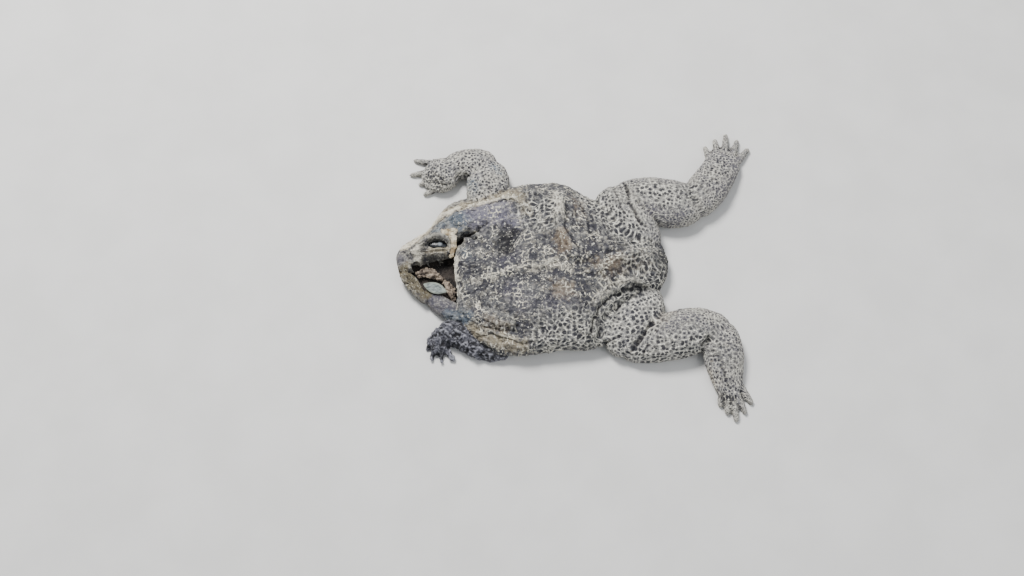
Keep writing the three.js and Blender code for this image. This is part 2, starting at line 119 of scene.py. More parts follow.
# Folds seen in the photo: half width, height (below zero for a crease), how much higher the skin
# stands on the left of the line, and points of x, y.
FOLDS = {
    "left_hip_crease": (
        0.9, -1.2, 0.8,
        [(11.4, -43.3), (17.2, -25.7), (21.1, -20.7), (29.8, -15.7), (39.1, -12.7), (46.2, -12.2)],
    ),
    "left_hip_low_crease": (0.6, -0.6, 0.2, [(16.7, -41.6), (22.7, -39.6), (28.3, -37.4)]),
    "left_knee_crease": (0.8, -1.1, 0, [(30.6, -47.1), (35.3, -41.5), (40.6, -34.3), (44.7, -28.9)]),
    "left_knee_wrinkle": (0.5, -0.5, 0, [(37.6, -48.9), (38.4, -46.1), (41.2, -42.3)]),
    "left_ankle_crease": (0.8, -1.1, 0.5, [(64.9, -44.3), (67.6, -41.1), (70.1, -38.3)]),
    "right_knee_crease": (
        0.8, -0.9, 0.7,
        [(31.6, 48.4), (33.3, 38.8), (33.9, 32.2), (37, 24.6), (39.3, 20.9), (44.1, 17)],
    ),
    "right_knee_wrinkle": (0.5, -0.4, 0.2, [(26.5, 46.1), (28.6, 34.6), (30.3, 27.6), (34, 21.9)]),
    "cross_ridge": (
        1.3, 1.2, 0,
        [(-2.8, 38.4), (0.5, 31.2), (-1.6, 20.9), (-0.3, 12.1), (1.4, 4.5), (4.7, -1.1)],
    ),
    "radial_groove_a": (1, -0.9, -0.2, [(4, 31.4), (2.1, 16.1), (6.3, 8.1), (9.4, -0.8)]),
    "radial_groove_b": (0.6, -0.3, 0, [(8.6, 36.6), (11.6, 24.9), (15.1, 11.9), (18.5, 1.3)]),
    "radial_groove_c": (0.6, -0.3, 0, [(14.4, 40.3), (18.4, 23.9), (23.8, 11.9), (27.2, 5)]),
    "spine_ridge": (
        1.4, 0.8, 0,
        [(-43.4, -12.3), (-29.1, -8), (-17.7, -5.2), (-9.6, -3.3), (-2, -2.6), (8.9, -7.6)],
    ),
    "rump_ridge": (1.5, 0.9, 0, [(8.9, -7.6), (18.4, -6.6), (28.5, -1), (37.7, -2.4)]),
    "rump_hollow": (2.4, -0.9, 0, [(1.3, -3.2), (14.6, -1.2), (28.7, 5.2), (40, 12.6)]),
    "hip_crest": (
        1.1, 1, 0,
        [(14.3, -27.4), (16.8, -21), (23.6, -12.7), (28.4, -11.6), (34.1, -11), (41.6, -7.8)],
    ),
    "shoulder_hollow": (4, -1, 0, [(-21, 21.1), (-24.9, 13.3), (-26.8, 0.4)]),
    "hollow_rim": (1.3, 0.8, 0, [(-16.1, 29.6), (-17.6, 21.6), (-14.7, 14.7), (-7.5, 9.4)]),
    "edge_crack": (0.4, -0.8, 0.3, [(-36.6, 29.6), (-30.8, 33.1), (-23.9, 34.6), (-20, 33.5)]),
    "edge_turn": (1, 0.7, 0, [(-18, 33.3), (-15.6, 27.8), (-18, 22.4)]),
    "left_flank_a": (0.7, -0.6, 0.2, [(-40.4, -34.7), (-31.4, -39.8), (-19.7, -42.1), (-6.6, -42.2)]),
    "left_flank_c": (0.9, -0.7, 0.2, [(-43.2, -29.3), (-32.8, -34.6), (-22, -35.9)]),
    "right_elbow_crease": (0.7, -1.1, 0.4, [(-48.8, 43.8), (-48.4, 47.2), (-46.5, 50.8), (-43.3, 48.8)]),
    "right_palm_a": (0.4, -0.4, 0, [(-62.8, 48.5), (-58.8, 46), (-54.8, 44.9)]),
    "right_palm_b": (0.4, -0.4, 0, [(-61.4, 50.4), (-57.3, 47.8), (-53.8, 46.4)]),
    "lip_crack": (
        0.4, -0.6, 0,
        [(-73.9, 7.1), (-69.8, 8.7), (-63.2, 14.2), (-59.7, 22.3), (-54.9, 29.3)],
    ),
    "ear_wedge": (
        1.2, -2.2, 0,
        [(-49.1, 7.9), (-47.5, 16.4), (-45.5, 17.2), (-42.4, 14), (-38.9, 12.1)],
    ),
    "neck_knob": (1.5, 0.8, 0, [(-48, 15.3), (-42.8, 11.7), (-37.9, 9)]),
    "front_wrinkle_a": (0.6, -0.5, 0.2, [(-50.4, 1.1), (-44.5, -3.9), (-38.7, -4.1)]),
    "front_wrinkle_b": (0.6, -0.5, 0.2, [(-50, -9.3), (-45.3, -17.2), (-39.5, -16.9)]),
    "left_foot_groove": (0.9, -0.4, 0, [(72, -46.3), (75.4, -55.5), (77, -65.9)]),
    "right_foot_groove": (1, -0.3, 0, [(63.9, 31.4), (70.7, 44.8), (79, 59.5)]),
}

# Patches of fine wrinkles: x, y, radius, the way that the wrinkles run in degrees, spacing, height.
WRINKLES = [
    (15, 25, 16, -70, 2.3, 1.2), (30, 37, 9, -74, 1.6, 1),
    (71, -47, 8, -10, 1.4, 1), (38, -42, 8, 58, 1.7, 1.1),
    (22, -33, 8, 72, 1.8, 0.6), (-49, 50, 7.5, 80, 1.5, 1.1),
    (-26, -39, 13, -14, 1.8, 0.8), (-31, 35, 10, 18, 1.3, 0.7),
    (-38, -31, 8, -32, 1.8, 0.6), (46, -2, 8, 80, 1.8, 0.6),
    (-60, 47, 6, -25, 1.3, 0.6), (-46, -6, 9, 5, 2.2, 0.6),
    (-20, 12, 12, 62, 3, 0.8), (30, 4, 14, 20, 2.6, 1),
    (4, -8, 14, -10, 3, 0.6), (66, 36, 8, 60, 1.8, 0.9),
    (80, 50, 9, 62, 1.8, 0.8), (74, -58, 7, -78, 1.6, 0.7),
    (48, 26, 9, 20, 2.2, 0.8), (54, -36, 10, 20, 2, 0.7),
    (-70, 12, 7, 35, 1.2, 0.9), (-56, -19, 7, -40, 1.3, 0.45),
    (-60, 25, 7, 48, 1.1, 1.2), (-46, 32.5, 8, 12, 1.1, 1.2),
    (-71.5, -7.5, 7.5, -50, 1.1, 2.2), (-52, -31, 9, -30, 1.6, 1.5),
    (-40, -40, 8, -24, 1.5, 1.5), (-36, 44, 8, 60, 1.6, 0.9),
]

# Fills where two parts of the body run into each other: x, y, drop below the skin, half sizes.
FILLS = [
    [
        (17, -41, 3.6, 2.4, 2.4), (19.6, -37, 3, 3, 3), (21.2, -31, 3, 3, 3),
        (25.6, -25, 3.4, 2.6, 2.6),
    ],
    [
        (-38.4, 18, 1.6, 1.4, 1.4), (-34, 20.6, 1.5, 1.8, 1.6), (-29.4, 23, 1.5, 1.8, 1.6),
        (-25, 24.6, 1.6, 1.4, 1.4),
    ],
]

# Webs between the hind toes: points of x, y from toe to toe.
WEBS = [
    [(75.8, 65), (80.3, 67.6), (84.9, 69.2), (89, 67.4), (92.6, 63.6)],
    [(74.6, -65.4), (76.9, -67.6), (79.6, -69.6), (82.4, -67.2), (84.6, -62.4)],
]

# Painted patches: name of the layer, then radius, strength and points of x, y for each stroke.
PAINT = {
    "spots": [
        (8.5, 1, [(27.6, -31.2), (33.3, -26.3), (42.2, -19.6), (36.9, -33)]),
        (6.5, 1, [(-6.5, -37.2), (1.4, -36.3), (10.8, -35.4)]),
        (6, 1, [(47.6, -44.9), (55.1, -43.6), (62.2, -40.2)]),
        (7.5, 0.85, [(17.8, 38), (22.7, 31.3), (29.1, 19.8), (36.7, 13.7)]),
        (6, 0.8, [(44.4, 38.5), (50.2, 37.4), (55, 33)]),
        (6.5, 0.8, [(37.7, -6.5), (45.1, -9)]),
        (4.5, 0.8, [(15, 44), (20, 47)]),
        (5, 0.6, [(70, -40), (76, -48)]),
        (5.5, 0.9, [(22, -38), (30, -44), (37, -47)]),
        (6, 0.7, [(60, 36), (66, 40)]),
        (5.5, 0.8, [(-13.6, 29.1), (-7.3, 29.1), (-9.8, 22.5)]),
    ],
    "tan": [
        (
            2.6, 1,
            [(-75.6, 11.4), (-68.4, 15.8), (-62.8, 23.9), (-57.9, 28.6), (-49, 32), (-39.1, 33)],
        ),
        (2.6, 1, [(-39.1, 33), (-29.3, 37.5), (-20.5, 36.4), (-17, 32.3), (-16, 27)]),
        (3.2, 0.8, [(-43.3, -33.8), (-36.6, -38.6), (-28.1, -41.3), (-17.8, -43.3)]),
        (1.6, 0.8, [(-66, 5.9), (-62.6, 7.2), (-59.6, 7.6), (-56.4, 7.7), (-53.8, 8.4)]),
        (3.4, 0.6, [(66.5, -54.4), (69.8, -60.9)]),
    ],
    "cream": [
        (2.2, 1, [(-69.8, 6.2), (-67.9, 4.3)]),
        (2.4, 0.8, [(-1.9, 35.2), (-0.6, 24.2)]),
        (2.4, 0.5, [(-14.8, -4.7), (-6.3, -3), (4.2, -7)]),
        (2, 0.5, [(18.2, -19.4), (23.1, -13.7), (34, -11)]),
        (1.4, 0.8, [(-50.6, 3), (-51, -8), (-50, -16)]),
        (1.8, 0.4, [(-43.4, -12.3), (-29.1, -8), (-17.7, -5.2)]),
        (1.3, 0.9, [(-76, 10.4), (-70, 14.4), (-64.4, 21.6), (-59.4, 27.4), (-50, 31.4)]),
        (1.2, 0.7, [(-44, 31.8), (-36.6, 32.6), (-29, 35.6), (-22, 35.2)]),
    ],
    "ochre": [
        (3.6, 0.9, [(0.6, 12.4), (1.4, 3.9)]),
        (4.6, 0.7, [(18.5, -5.6), (24.1, -5.2), (32.8, -2.2), (37.7, -2.8)]),
        (4.4, 0.8, [(-1.7, -16.4), (2.1, -17.4)]),
        (3.4, 0.5, [(7, 34.8), (9.7, 26)]),
        (3.6, 0.7, [(-34.7, -32.9), (-27.6, -35.8)]),
        (2.6, 0.8, [(44, -32.5), (50.2, -27)]),
    ],
    "violet": [
        (5.5, 0.7, [(-26.7, -2.9), (-23.4, 0.7)]),
        (6.5, 0.7, [(-23.4, -16.7), (-17.3, -22.1)]),
        (5.5, 0.7, [(-6.5, -24.9), (2, -22.3)]),
        (3.6, 0.9, [(45.1, 27.7), (52.8, 25.7), (58.8, 25.5)]),
        (3, 1, [(46.9, -36.7), (53.7, -32.3), (61.4, -29.5)]),
        (3.6, 0.9, [(32.9, -42.2), (36.7, -37.8), (38.7, -35.9)]),
        (3.2, 0.9, [(80.5, 38.4), (86.3, 47.3), (91.8, 61)]),
        (4.4, 1, [(-64.8, -13.9), (-58.8, -18.7), (-53.9, -22.2)]),
        (3, 0.7, [(-78.8, 5.6), (-77, 3)]),
    ],
    "mauve": [
        (6, 1, [(-43, 24.6), (-36, 26), (-29.3, 26.8), (-24.4, 23.4)]),
    ],
    "olive": [
        (3.4, 1, [(-75.5, -2.5), (-72, -7), (-67.5, -12), (-65, -14.5)]),
    ],
    "slate": [
        (4.6, 1, [(-53, 27), (-48.8, 21.9)]),
        (3, 0.8, [(-60.5, 19), (-57, 22)]),
        (3.4, 1, [(-52.9, -25.7), (-45.2, -29.8)]),
        (3.4, 0.8, [(-32.4, 54.2), (-30.4, 51.7)]),
        (3.6, 0.8, [(-45.3, 45.1), (-42.2, 41.7)]),
        (3, 0.5, [(-46.5, 6), (-44, 2)]),
    ],
    # Painted shade: near-black strokes along the hip crease and ear wedge, in the shoulder hollow, in the
    # eye socket and round the lids, and in the gaps between toes and between the legs.
    "painted_shade": [
        (5, 0.9, [(-25.4, 16.9), (-26.8, 5)]),
        (4.2, 0.9, [(50, 3.2), (51, -4.7)]),
        (3.4, 1, [(-64.4, 50.5), (-59.3, 47.4)]),
        (2.8, 1, [(75.2, -66.9), (77.9, -67.9)]),
        (1.5, 0.7, [(11.4, -43.3), (21, -21.6), (28.8, -16.5), (37.7, -13.6)]),
        (1.4, 1, [(-66.8, 6.3), (-65.6, 7)]),
        (1.2, 0.9, [(-65, 10), (-60.2, 13.2), (-55.4, 12.4)]),
        (1.5, 0.8, [(-66, 2.6), (-60, 3.2), (-54, 3.4)]),
        (1.5, 1, [(-48.6, 10), (-47.5, 16), (-45, 16.4), (-42, 14), (-38.9, 12.4)]),
        (1.6, 0.8, [(-62, 11.4), (-58, 13.4), (-55.4, 11.4)]),
    ],
}

# The hide's painted patches: colour as it looks on screen, and how strongly it covers.
PAINT_COLOURS = {
    "violet": ((72, 70, 82), 0.75),
    "mauve": ((120, 117, 131), 0.72),
    "slate": ((88, 100, 112), 0.7),
    "ochre": ((142, 122, 96), 0.45),
    "tan": ((156, 144, 120), 0.75),
    "cream": ((232, 224, 204), 0.68),
    # Near-black painted shade for the creases, hollows, eye socket and gaps between toes.
    "painted_shade": ((30, 30, 34), 0.85),
    "olive": ((94, 86, 66), 0.9),
}

# Scales of the hide's patterns, in waves, grains or cells per metre.
BROAD_SCALE = 95.0
MIDDLE_SCALE = 330.0
SPECK_SCALE = 1500.0
CHIP_SCALE = 800.0
GRAIN_SCALE = 1150.0
NET_SCALE = 400.0
FINE_NET_SCALE = 850.0
SPOT_SCALE = 440.0
DOT_SCALE = 560.0
SPOT_CHANCE = 0.92
NET_SWAY = 0.0013
PALE_CRUST = (206, 202, 188)
DRY_SHINE = 0.35

# Finishes of the small pieces: dark and pale tone, scale, bump depth, and gloss and pits of bone.
DRY_FINISHES = {
    "jaw_finish": ((78, 70, 56), (142, 126, 98), 700.0, 0.0004),
    # Near-black: painted shade in the mouth opening, on the sheet that stands for the throat skin.
    "throat_finish": ((26, 23, 22), (52, 46, 42), 700.0, 0.0003),
    "bone_finish": ((142, 124, 96), (216, 206, 182), 800.0, 0.0004, 0.75, 0.7),
    "old_bone_finish": ((74, 65, 60), (162, 147, 130), 800.0, 0.0005, 0.8, 0.9),
}

# The small pieces: node, finish, slot, voxel, roughness, share of its height kept, and added lenses.
# Flat sheets that widen the dark throat floor, whose tone is painted shade in the mouth opening.
THROAT_LENSES = [((-55.5, 0.5, 0.5), (14.0, 14.0, 0.9)), ((-46.0, 12.0, 0.5), (11.0, 14.0, 0.9))]
EAR_BONE_LENSES = [((-52.4, 18.0, 8.6), (5.6, 3.2, 1.6)), ((-56.4, 18.2, 8.4), (4.6, 2.4, 1.4))]
SMALL_PIECES = {
    "lower_jaw_skin": ("lower_jaw", "jaw_finish", "jaw_skin", 0.3, 0.12, 1.0, ()),
    "throat_floor": ("throat", "throat_finish", "throat_skin", 0.4, 0.3, 1.0, THROAT_LENSES),
    "ear_bone_piece": ("ear_bone", "bone_finish", "bone", 0.22, 0.8, 0.5, EAR_BONE_LENSES),
    "palate_bone_piece": ("palate_bone", "old_bone_finish", "bone", 0.22, 1.2, 0.6, ()),
    "cheek_bone_piece": ("cheek_bone", "old_bone_finish", "bone", 0.22, 1.0, 0.55, ()),
}
SMALL_ROUNDS = 3

# The eyes: the ball's place and size, and the dried lens's place, half size, turn and tilt.
BALL_PLACE = (-59.6, 10.6, 7.3)
BALL_SIZE = (9.9, 4.4, 3.4)
BALL_TURN = -4
LENS_PLACE = (-60.4, -11.6, 5.0)
LENS_HALF_SIZE = (6.0, 3.1, 1.7)
LENS_TURN = -20
LENS_TILT = -8

CAMERA_PLACE = (-0.023410, -0.307762, 0.613205)
CAMERA_TILT = math.radians(26)
CAMERA_LENS = 49.454


# Mesh helpers


def gathered(nodes, swell):
    """A bmesh in millimetres of merged copies of CAD nodes, each swollen so that neighbours meet."""
    form = bmesh.new()
    for name in nodes:
        piece = bmesh.new()
        piece.from_mesh(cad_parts[name].data)
        bmesh.ops.remove_doubles(piece, verts=piece.verts, dist=1e-6)
        bmesh.ops.scale(piece, vec=(1 / MM,) * 3, verts=piece.verts)
        piece.normal_update()
        for vert in piece.verts:
            vert.co += vert.normal * swell
            vert.co.z = max(vert.co.z, 0.0)
        pour(piece, form)
    return form


def pour(piece, form):
    """Adds one bmesh to another and frees it."""
    carrier = bpy.data.meshes.new("carrier")
    piece.to_mesh(carrier)
    piece.free()
    form.from_mesh(carrier)
    bpy.data.meshes.remove(carrier)


def extruded(form, faces):
    """Extrudes faces of a bmesh: the new vertices and the new faces."""
    grown = bmesh.ops.extrude_face_region(form, geom=faces)["geom"]
    verts = [item for item in grown if isinstance(item, bmesh.types.BMVert)]
    return verts, [item for item in grown if isinstance(item, bmesh.types.BMFace)]


def add_roll(form, stations, sides=10):
    """A closed roll swept through stations of x, y, z, half width and half height."""
    points = [Vector(station[:3]) for station in stations]
    last = len(points) - 1
    places = []
    for index, station in enumerate(stations):
        ahead = (points[min(index + 1, last)] - points[max(index - 1, 0)]).normalized()
        across = ahead.cross(Vector((0, 0, 1))).normalized()
        up = across.cross(ahead).normalized()
        turn = Matrix((across, up, ahead)).transposed().to_4x4()
        size = Matrix.Diagonal((station[3], station[4], 1.0, 1.0))
        places.append(Matrix.Translation(points[index]) @ turn @ size)
    piece = bmesh.new()
    bmesh.ops.create_circle(piece, cap_ends=True, segments=sides, radius=1.0)
    piece.transform(places[0])
    cap = list(piece.faces)
    for before, after in zip(places, places[1:]):
        verts, cap = extruded(piece, cap)
        bmesh.ops.transform(piece, matrix=after @ before.inverted(), verts=verts)
    bmesh.ops.recalc_face_normals(piece, faces=piece.faces)
    pour(piece, form)


def add_lens(form, centre, size, turn, rings=12):
    """An egg-shaped form: full length, width and depth, turned in plan by degrees."""
    piece = bmesh.new()
    bmesh.ops.create_uvsphere(piece, u_segments=rings * 2, v_segments=rings, radius=0.5)
    bmesh.ops.scale(piece, vec=size, verts=piece.verts)
    spin = Matrix.Rotation(math.radians(turn), 3, "Z")
    bmesh.ops.rotate(piece, matrix=spin, verts=piece.verts)
    bmesh.ops.translate(piece, vec=centre, verts=piece.verts)
    pour(piece, form)


def new_object(name, data):
    """A new object in the scene."""
    made = bpy.data.objects.new(name, data)
    bpy.context.scene.collection.objects.link(made)
    return made


def to_object(form, name):
    """A new object from a bmesh, which is freed."""
    mesh = bpy.data.meshes.new(name)
    form.to_mesh(mesh)
    form.free()
    return new_object(name, mesh)


def apply_modifiers(made):
    """Bakes an object's modifiers into its mesh."""
    graph = bpy.context.evaluated_depsgraph_get()
    mesh = bpy.data.meshes.new_from_object(made.evaluated_get(graph))
    old = made.data
    made.modifiers.clear()
    made.data = mesh
    bpy.data.meshes.remove(old)
    made.data.name = made.name


def remesh(made, voxel):
    """Fuses an object's closed forms into one even mesh."""
    modifier = made.modifiers.new("fuse", "REMESH")
    modifier.mode = "VOXEL"
    modifier.voxel_size = voxel
    apply_modifiers(made)


def read_rows(items, key, width, kind=np.float32):
    """One row of numbers for each item of a mesh."""
    rows = np.empty(len(items) * width, kind)
    items.foreach_get(key, rows)
    return rows.reshape(-1, width)


def get_points(mesh):
    return read_rows(mesh.vertices, "co", 3).astype(float)


def set_points(mesh, points):
    mesh.vertices.foreach_set("co", points.astype(np.float32).ravel())
    mesh.update()


def get_normals(mesh):
    return read_rows(mesh.vertex_normals, "vector", 3).astype(float)


def get_links(mesh):
    return read_rows(mesh.edges, "vertices", 2, np.int32)


def neighbour_mean(values, links):
    """The mean of each vertex's neighbours, for one number or a point per vertex."""
    count = len(values)
    start, end = links[:, 0], links[:, 1]
    share = np.bincount(start, minlength=count) + np.bincount(end, minlength=count)
    table = values.reshape(count, -1)
    columns = [
        np.bincount(start, table[end, axis], count) + np.bincount(end, table[start, axis], count)
        for axis in range(table.shape[1])
    ]
    mean = np.stack(columns, 1) / np.maximum(share, 1)[:, None]
    return mean.reshape(values.shape)


def blurred(values, links, rounds):
    """Spreads a value over the mesh."""
    for _ in range(rounds):
        values = 0.5 * values + 0.5 * neighbour_mean(values, links)
    return values


def relaxed(points, links, rounds, share):
    """Evens a mesh out without shrinking it; share says how much each vertex takes part."""
    for _ in range(rounds):
        for step in (0.5, -0.52):
            points = points + step * share[:, None] * (neighbour_mean(points, links) - points)
    return points


def magnified(points, back=False):
    """Swells the space round the head, so that one voxel size gives it finer faces, or undoes it."""
    centre = np.array(HEAD_CENTRE)
    offset = points - centre
    reach = np.linalg.norm(offset, axis=1)
    swell = HEAD_EXTRA * HEAD_REACH
    if not back:
        after = reach + swell * np.tanh(reach / HEAD_REACH)
        return centre + offset * (after / np.maximum(reach, 1e-9))[:, None]
    before = np.maximum(reach - swell, reach / (1 + HEAD_EXTRA))
    for _ in range(30):
        bend = np.tanh(before / HEAD_REACH)
        slope = 1 + HEAD_EXTRA * (1 - bend**2)
        before -= (before + swell * bend - reach) / slope
    return centre + offset * (before / np.maximum(reach, 1e-9))[:, None]


def swayed(points):
    """Points nudged in plan, so that a line drawn through them wanders as a real fold does."""
    slow = np.array([noise.noise_vector(Vector(point * 0.22)) for point in points])
    quick = np.array([noise.noise_vector(Vector(point * 0.75)) for point in points])
    return points + slow * 1.1 + quick * 0.45


def read_stroke(points, stroke, margin):
    """The points near a stroke of x, y points: their distance in plan, place along it, and side."""
    line = np.array(stroke, float)
    low, high = line.min(0) - margin, line.max(0) + margin
    near = np.where(((points[:, :2] > low) & (points[:, :2] < high)).all(1))[0]
    spots = points[near, :2]
    gap = np.full(len(near), 1e3)
    place = np.zeros(len(near))
    side = np.zeros(len(near))
    lengths = np.linalg.norm(np.diff(line, axis=0), axis=1)
    passed = 0.0
    for start, end, length in zip(line, line[1:], lengths):
        along = (end - start) / length
        offset = spots - start
        reach = np.clip(offset @ along, 0, length)
        found = np.linalg.norm(offset - reach[:, None] * along, axis=1)
        closer = found < gap
        turn = along[0] * offset[:, 1] - along[1] * offset[:, 0]
        gap = np.where(closer, found, gap)
        place = np.where(closer, (passed + reach) / lengths.sum(), place)
        side = np.where(closer, np.sign(turn), side)
        passed += length
    return near, gap, place, side


def eased(values):
    """Numbers from 0 to 1, with a soft start and end."""
    values = np.clip(values, 0, 1)
    return values * values * (3 - 2 * values)


def save_layer(mesh, name, values):
    """Keeps one number per vertex for the materials."""
    layer = mesh.attributes.new(name, "FLOAT", "POINT")
    layer.data.foreach_set("value", np.clip(values, 0, 1).astype(np.float32))


def scatter(points, scale, sample):
    """One noise value per point."""
    return np.array([sample(Vector(point * scale)) for point in points])


# The skin


def flesh_tree():
    """A search tree over the flesh nodes, and the node that each of its faces belongs to."""
    form = bmesh.new()
    owners = []
    for name in FLESH_NODES:
        before = len(form.faces)
        pour(gathered([name], 0.0), form)
        owners += [name] * (len(form.faces) - before)
    tree = BVHTree.FromBMesh(form)
    form.free()
    return tree, owners


def height_at(tree, x, y):
    """Height of the solids' upper surface over a point of the floor."""
    hit = tree.ray_cast(Vector((x, y, 60.0)), Vector((0, 0, -1)))[0]
    return hit.z if hit else 0.0


def add_head_rolls(form, tree):
    """Lids, brow, lip and shreds, laid on the head and fused into the skin."""
    for stations in HEAD_ROLLS.values():
        laid = [(x, y, height_at(tree, x, y) + lift, w, h) for x, y, lift, w, h in stations]
        add_roll(form, laid)


def add_webs(form):
    """The webs between the hind toes, thin sheets fused into the skin."""
    for web in WEBS:
        add_roll(form, [(x, y, 0.9, 2.4, 0.8) for x, y in web])


def add_fills(form, tree):
    """Fills in the gaps between parts that run into each other."""
    turns = [math.radians(45 * step) for step in range(8)]
    ring = [(FILL_REACH * math.cos(turn), FILL_REACH * math.sin(turn)) for turn in turns]
    for stations in FILLS:
        laid = []
        for x, y, drop, wide, high in stations:
            top = max(height_at(tree, x + across, y + along) for across, along in ring)
            laid.append((x, y, top - drop, wide, high))
        add_roll(form, laid)


def home_shares(points, tree, owners, links):
    """How much each vertex belongs to the trunk, head, limbs and dried arm, softened over the mesh."""
    homes = np.array([owners[tree.find_nearest(Vector(point))[2]] for point in points])
    trunk, head, dried = (
        blurred(np.isin(homes, nodes).astype(float), links, rounds)
        for nodes, rounds in ((TRUNK_NODES, 10), (HEAD_NODES, 6), (DRIED_ARM_NODES, 3))
    )
    return trunk, head, np.clip(1 - head - trunk - dried, 0, 1), dried


def fold_heights(points, path):
    """Height of the named folds over the smooth skin, fading out at both ends."""
    heights = np.zeros(len(points))
    uneven = 1 + 0.5 * scatter(points, 0.3, noise.noise)
    for width, height, step, stroke in FOLDS.values():
        near, gap, place, side = read_stroke(path, stroke, width * 4 + 3)
        taper = eased(place / 0.18) * eased((1 - place) / 0.18) * uneven[near]
        gap = gap / width
        if height < 0:
            shape = height * np.exp(-(gap**1.7)) - 0.2 * height * np.exp(-((gap - 2.3) ** 2))
        else:
            shape = height * np.exp(-(gap**1.2))
        lap = step * side * np.clip(gap, 0, 1) * np.exp(-gap * 0.45)
        heights[near] += taper * (shape + lap)
    return heights


def wrinkle_heights(points):
    """Patches of fine, nearly parallel wrinkles: round tops and sharp valleys."""
    heights = np.zeros(len(points))
    for index, (x, y, radius, degrees, spacing, height) in enumerate(WRINKLES):
        offset = points[:, :2] - (x, y)
        near = np.where((np.abs(offset) < radius * 1.7).all(1))[0]
        offset = offset[near]
        angle = math.radians(degrees)
        along = offset @ (math.cos(angle), math.sin(angle))
        across = offset @ (-math.sin(angle), math.cos(angle))
        cover = np.exp(-((np.linalg.norm(offset, axis=1) / radius) ** 3))
        for share, finer in ((1.0, 1.0), (0.45, 2.1)):
            lot = np.full(len(near), index * 7.3)
            table = np.stack([along / (spacing * 4.5), across / spacing, lot], 1)
            billow = np.abs(scatter(table, finer, noise.noise))
            heights[near] += (billow - BILLOW_MEAN) * share * height * cover
    return heights


def ridges(point):
    """Sharp ridges, as in crumpled leather."""
    return noise.ridged_multi_fractal(point, 0.9, 2.1, 3, 1.0, 2.0)


def crumple_heights(points, trunk, head, limbs, dried):
    """Small folds and grains that the dry skin has all over."""
    broad = scatter(points, 0.12, ridges)
    fine = np.abs(scatter(points, 0.34, noise.noise)) + 0.5 * np.abs(scatter(points, 0.8, noise.noise))
    grain = scatter(points, 0.62, lambda p: noise.voronoi(p)[0][0])
    torn = scatter(points, 0.42, ridges)
    heights = (0.42 * trunk + 0.13 * limbs + 1.0 * dried) * (broad - RIDGE_MEAN)
    heights += (0.7 * trunk + 0.35 * limbs + 0.6 * dried + 0.3 * head) * (fine - FINE_MEAN)
    heights += (0.22 * trunk + 0.18 * limbs) * (GRAIN_MEAN - grain)
    heights += (0.26 * head + 0.6 * dried) * (torn - RIDGE_MEAN)
    return heights


def thin(made, ratio, chosen=None):
    """Thins an object's faces to a share of them, at the chosen vertices only where some are given."""
    modifier = made.modifiers.new("thin", "DECIMATE")
    modifier.ratio = ratio
    if chosen is not None:
        group = made.vertex_groups.new(name="chosen")
        group.add([int(index) for index in chosen], 1.0, "REPLACE")
        modifier.vertex_group = "chosen"
    apply_modifiers(made)
    made.vertex_groups.clear()


def count_triangles(mesh):
    """How many triangles a mesh's faces come to."""
    return sum(len(face.vertices) - 2 for face in mesh.polygons)


def fuse_flesh(tree):
    """The flesh nodes, rolls, webs and fills as one even mesh, finer round the head."""
    form = gathered(FLESH_NODES, SKIN_SWELL)
    add_head_rolls(form, tree)
    add_webs(form)
    add_fills(form, tree)
    made = to_object(form, "skin")
    set_points(made.data, magnified(get_points(made.data)))
    remesh(made, SKIN_VOXEL)
    set_points(made.data, magnified(get_points(made.data), back=True))
    thin(made, UNDERSIDE_SHARE, np.where(get_points(made.data)[:, 2] < FLOOR_BAND)[0])
    return made


def shape_skin(made, tree, owners):
    """Smooths the fused mesh and raises the folds, wrinkles and grains out of it."""
    mesh = made.data
    points, links = get_points(mesh), get_links(mesh)
    trunk, head, limbs, dried = home_shares(points, tree, owners, links)
    top = np.clip((points[:, 2] - FLOOR_BAND) / 0.5, 0, 1)
    points = relaxed(points, links, HEAD_ROUNDS, top)
    points = relaxed(points, links, BODY_ROUNDS, top * (1 - head))
    set_points(mesh, points)
    normals = get_normals(mesh)
    facing = np.clip(normals[:, 2] * 1.6, 0, 1) * top
    path = swayed(points)
    folds = (fold_heights(points, path) + wrinkle_heights(path)) * facing
    crumple = crumple_heights(points, trunk, head, limbs, dried) * top
    points = points + normals * (folds + crumple)[:, None]
    points[:, 2] = np.maximum(points[:, 2], 0.0)
    set_points(mesh, points)


def unrolled(points, normals, links):
    """The skin laid out flat, so that its pattern keeps its size on the steep sides."""
    crown = points[:, 2].copy()
    for _ in range(CROWN_REACH):
        reached = crown.copy()
        np.maximum.at(reached, links[:, 0], crown[links[:, 1]])
        np.maximum.at(reached, links[:, 1], crown[links[:, 0]])
        crown = reached
    crown = blurred(crown, links, CROWN_ROUNDS)
    lean = blurred(normals[:, :2], links, LEAN_ROUNDS)
    place = np.zeros_like(points)
    place[:, :2] = points[:, :2] + lean * np.maximum(crown - points[:, 2], 0)[:, None]
    return place


